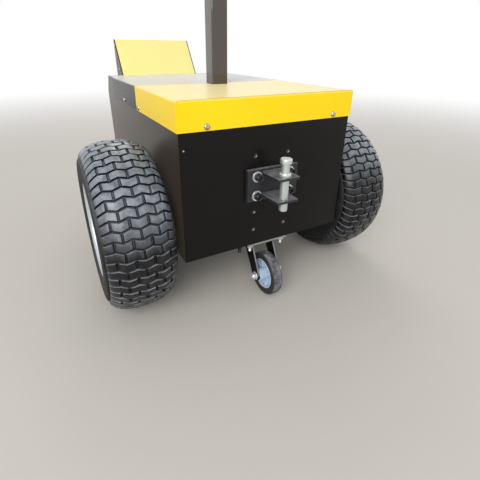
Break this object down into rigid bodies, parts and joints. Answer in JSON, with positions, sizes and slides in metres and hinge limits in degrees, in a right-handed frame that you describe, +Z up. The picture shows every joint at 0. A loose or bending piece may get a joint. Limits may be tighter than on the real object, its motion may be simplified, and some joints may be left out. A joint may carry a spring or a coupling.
{
  "type": "walk-behind electric tow tug",
  "caption": "Pedestrian electric tow tug: black box body with a yellow lid, turf-tyred drive wheels, swivel casters, pin hitch on a plate, cranked mast with handlebar.",
  "frame": {"origin": "on the ground, under the middle of the tug's box", "axes": "+X to the right seen from the hitch end, +Y from the hitch to the operator, +Z up"},
  "size_m": [0.788, 0.827, 1.0724],
  "materials": {
    "black_powder": "satin black powder coat",
    "black_gloss": "glossy black powder coat",
    "yellow_powder": "semi-gloss yellow powder coat",
    "hitch_black": "satin black paint over cut plate",
    "bolt_black": "black oxide",
    "zinc": "bright zinc plate",
    "galvanised": "dull zinc plate",
    "turned_steel": "turned steel, oiled",
    "cast_iron": "painted casting",
    "rim_silver": "silver paint",
    "tyre_rubber": "tyre rubber, dusty",
    "caster_rubber": "black rubber, dusty tread",
    "caster_nylon": "pale blue-grey nylon",
    "grip_rubber": "soft black rubber",
    "black_plastic": "fine-grained black plastic",
    "stop_red": "gloss red",
    "gauge_face": "gauge with a clear cover",
    "battery_case": "moulded case"
  },
  "bodies": {
    "chassis": {"floor_plate": "black_powder", "hitch_panel": "black_powder", "side_panel_left": "black_powder", "side_panel_right": "black_powder", "end_panel": "black_powder", "lid": "yellow_powder", "deck_cover": "black_gloss", "battery": "battery_case", "drive_unit": "cast_iron", "bearing_left": "cast_iron", "bearing_right": "cast_iron", "hitch_plate": "hitch_black", "hitch_shelf_upper": "hitch_black", "hitch_shelf_lower": "hitch_black", "hitch_bolts": "bolt_black", "caster_plate_front": "galvanised", "caster_plate_rear": "galvanised", "mast": "black_powder", "mast_arm": "black_powder", "handlebar_clamp": "black_powder", "handlebar": "black_powder", "grips": "grip_rubber", "control_head": "black_plastic", "emergency_stop": "stop_red", "console_cheeks": "black_powder", "console_cover": "yellow_powder", "console_panel": "black_powder", "charge_gauge": "gauge_face", "key_switch": "zinc", "charge_socket": "black_plastic"},
    "wheel_left": {"hub_left": "turned_steel", "rim_left": "rim_silver", "tyre_left": "tyre_rubber"},
    "wheel_right": {"hub_right": "turned_steel", "rim_right": "rim_silver", "tyre_right": "tyre_rubber"},
    "fork_front": {"caster_fork_front": "black_powder", "caster_axle_front": "zinc"},
    "roller_front": {"caster_hub_front": "caster_nylon", "caster_tyre_front": "caster_rubber"},
    "fork_rear": {"caster_fork_rear": "black_powder", "caster_axle_rear": "zinc"},
    "roller_rear": {"caster_hub_rear": "caster_nylon", "caster_tyre_rear": "caster_rubber"},
    "pin": {"hitch_pin": "zinc"}
  },
  "joints": [
    {"name": "wheel_left_spin", "type": "hinge", "parent": "chassis", "child": "wheel_left", "pos_m": [-0.314, -0.1795, 0.203], "axis": [1, 0, 0], "continuous": true},
    {"name": "wheel_right_spin", "type": "hinge", "parent": "chassis", "child": "wheel_right", "pos_m": [0.314, -0.1795, 0.203], "axis": [1, 0, 0], "continuous": true},
    {"name": "caster_front_swivel", "type": "hinge", "parent": "chassis", "child": "fork_front", "pos_m": [0, -0.3005, 0.14], "axis": [0, 0, 1], "continuous": true},
    {"name": "caster_front_roll", "type": "hinge", "parent": "fork_front", "child": "roller_front", "pos_m": [0, -0.3435, 0.058], "axis": [1, 0, 0], "continuous": true},
    {"name": "caster_rear_swivel", "type": "hinge", "parent": "chassis", "child": "fork_rear", "pos_m": [0, 0.3275, 0.14], "axis": [0, 0, 1], "continuous": true},
    {"name": "caster_rear_roll", "type": "hinge", "parent": "fork_rear", "child": "roller_rear", "pos_m": [0, 0.2845, 0.058], "axis": [1, 0, 0], "continuous": true},
    {"name": "hitch_pin_lift", "type": "slide", "parent": "chassis", "child": "pin", "axis": [0, 0, 1], "range_m": [0, 0.1]}
  ]
}
